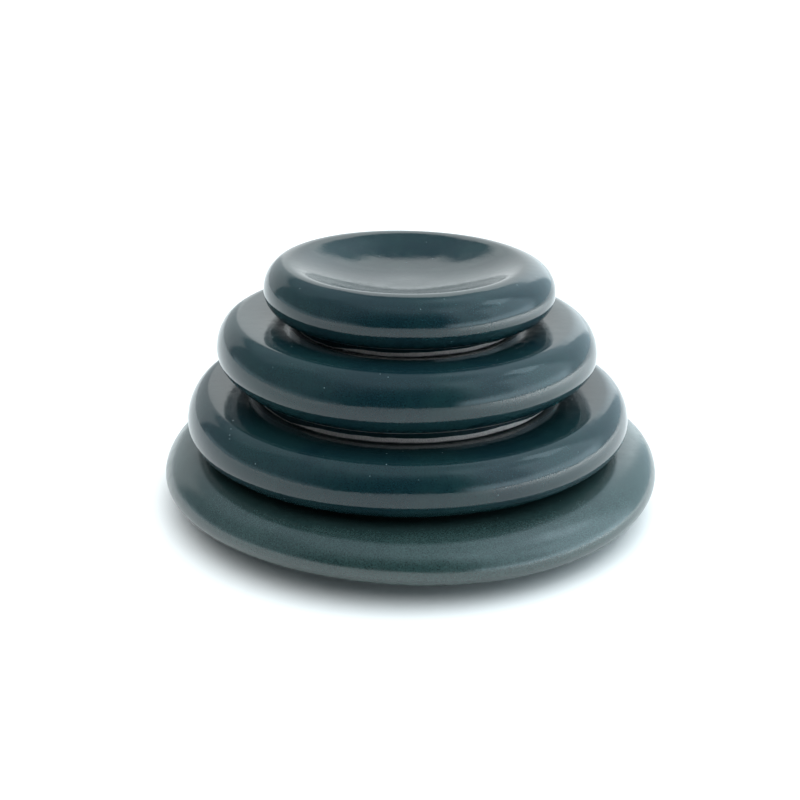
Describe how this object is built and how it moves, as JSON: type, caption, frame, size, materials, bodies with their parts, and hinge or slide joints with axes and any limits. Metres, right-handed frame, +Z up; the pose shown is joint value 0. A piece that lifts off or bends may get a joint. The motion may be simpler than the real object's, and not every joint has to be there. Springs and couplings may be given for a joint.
{
  "type": "stacked stoneware plate set",
  "caption": "Nest of round dished stoneware plates with thick rounded rims and trimmed foot rings, stacked by size; gloss glaze over one satin base plate.",
  "frame": {"origin": "middle of the largest plate's outline, in the plane its foot ring stands on", "axes": "+Z up along the shared axis of the foot rings; X and Y level, with no preferred heading"},
  "size_m": [0.2804, 0.2796, 0.1356],
  "materials": {
    "petrol_gloss_glaze": "polished",
    "sage_satin_glaze": "satin"
  },
  "bodies": {
    "serving_plate": {"serving_plate": "sage_satin_glaze"},
    "dinner_plate": {"dinner_plate": "petrol_gloss_glaze"},
    "dessert_plate": {"dessert_plate": "petrol_gloss_glaze"},
    "bread_plate": {"bread_plate": "petrol_gloss_glaze"}
  },
  "joints": [
    {"name": "dinner_lift", "type": "slide", "parent": "serving_plate", "child": "dinner_plate", "axis": [0, 0, 1], "range_m": [0, 0.06]},
    {"name": "dessert_lift", "type": "slide", "parent": "dinner_plate", "child": "dessert_plate", "axis": [0, 0, 1], "range_m": [0, 0.06]},
    {"name": "bread_lift", "type": "slide", "parent": "dessert_plate", "child": "bread_plate", "axis": [0, 0, 1], "range_m": [0, 0.06]}
  ]
}
